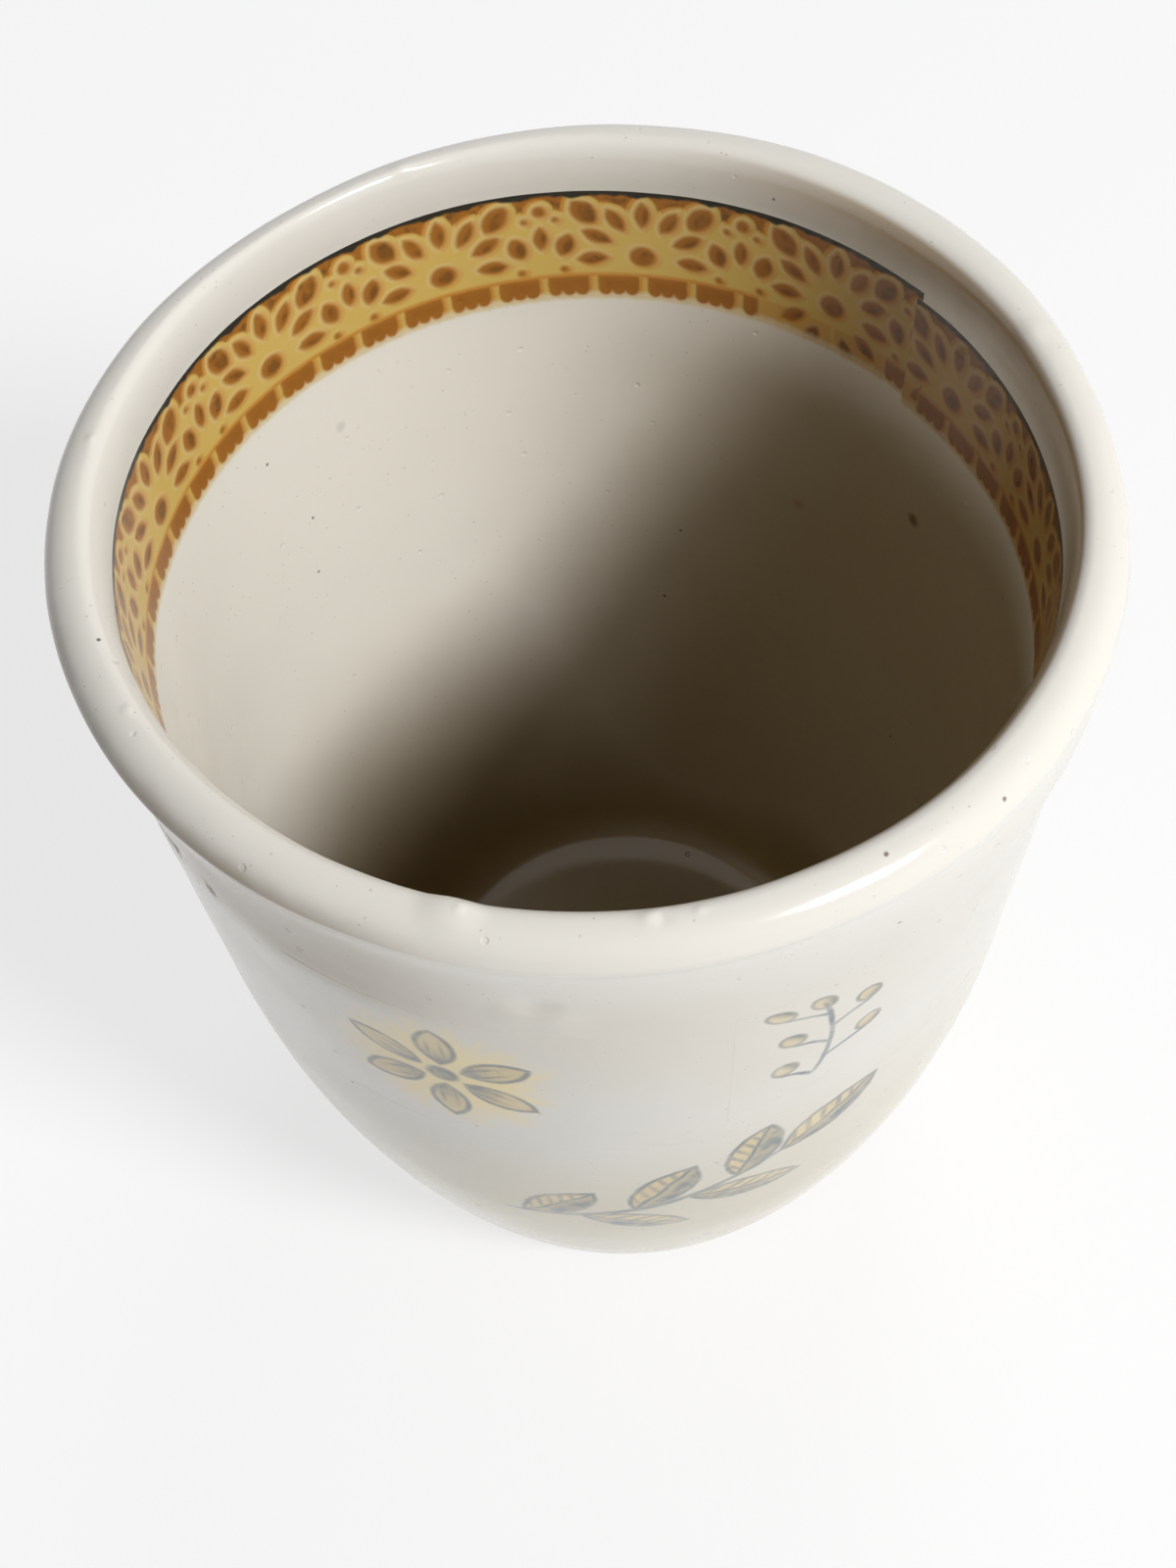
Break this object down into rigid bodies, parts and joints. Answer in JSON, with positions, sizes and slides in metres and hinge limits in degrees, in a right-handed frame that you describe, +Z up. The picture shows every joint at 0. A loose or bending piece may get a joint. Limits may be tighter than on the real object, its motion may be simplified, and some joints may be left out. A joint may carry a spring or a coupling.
{
  "type": "tumbler cup",
  "caption": "Hand-thrown glazed ceramic tumbler without a handle: rolled lip, rounded base on a foot ring, lace border inside the mouth and leafy transfers outside.",
  "frame": {"origin": "centre of the flat face of the foot ring, where the cup's axis meets the surface that it stands on", "axes": "+Z up along the cup's axis towards the mouth; -Y is the side that faces the camera, with the branch and the blossom; +X is to the right there"},
  "size_m": [0.086, 0.086, 0.096],
  "materials": {
    "bare_clay": "bare fired clay, matt and slightly gritty",
    "glaze": "glossy off-white glaze with fine specks",
    "brown_ink": "fired transfer ink under a glossy coat",
    "yellow_ink": "fired transfer ink under a glossy coat",
    "dark_ink": "fired transfer ink under a glossy coat",
    "grey_ink": "fired transfer ink, soft edged",
    "ochre_ink": "fired transfer ink, soft edged",
    "pale_wash": "thin transfer wash that fades into the glaze"
  },
  "bodies": {
    "root": {"clay_body": "bare_clay", "inside_glaze": "glaze", "outside_glaze": "glaze", "lace_ground_long": "brown_ink", "lace_print_long": "yellow_ink", "lace_line_long": "dark_ink", "lace_ground_short": "brown_ink", "lace_print_short": "yellow_ink", "lace_line_short": "dark_ink", "branch_outline": "grey_ink", "branch_leaves": "ochre_ink", "blossom_wash": "pale_wash", "blossom_petals": "ochre_ink", "blossom_outline": "grey_ink", "sprig_outline": "grey_ink", "sprig_buds": "ochre_ink"}
  },
  "joints": []
}
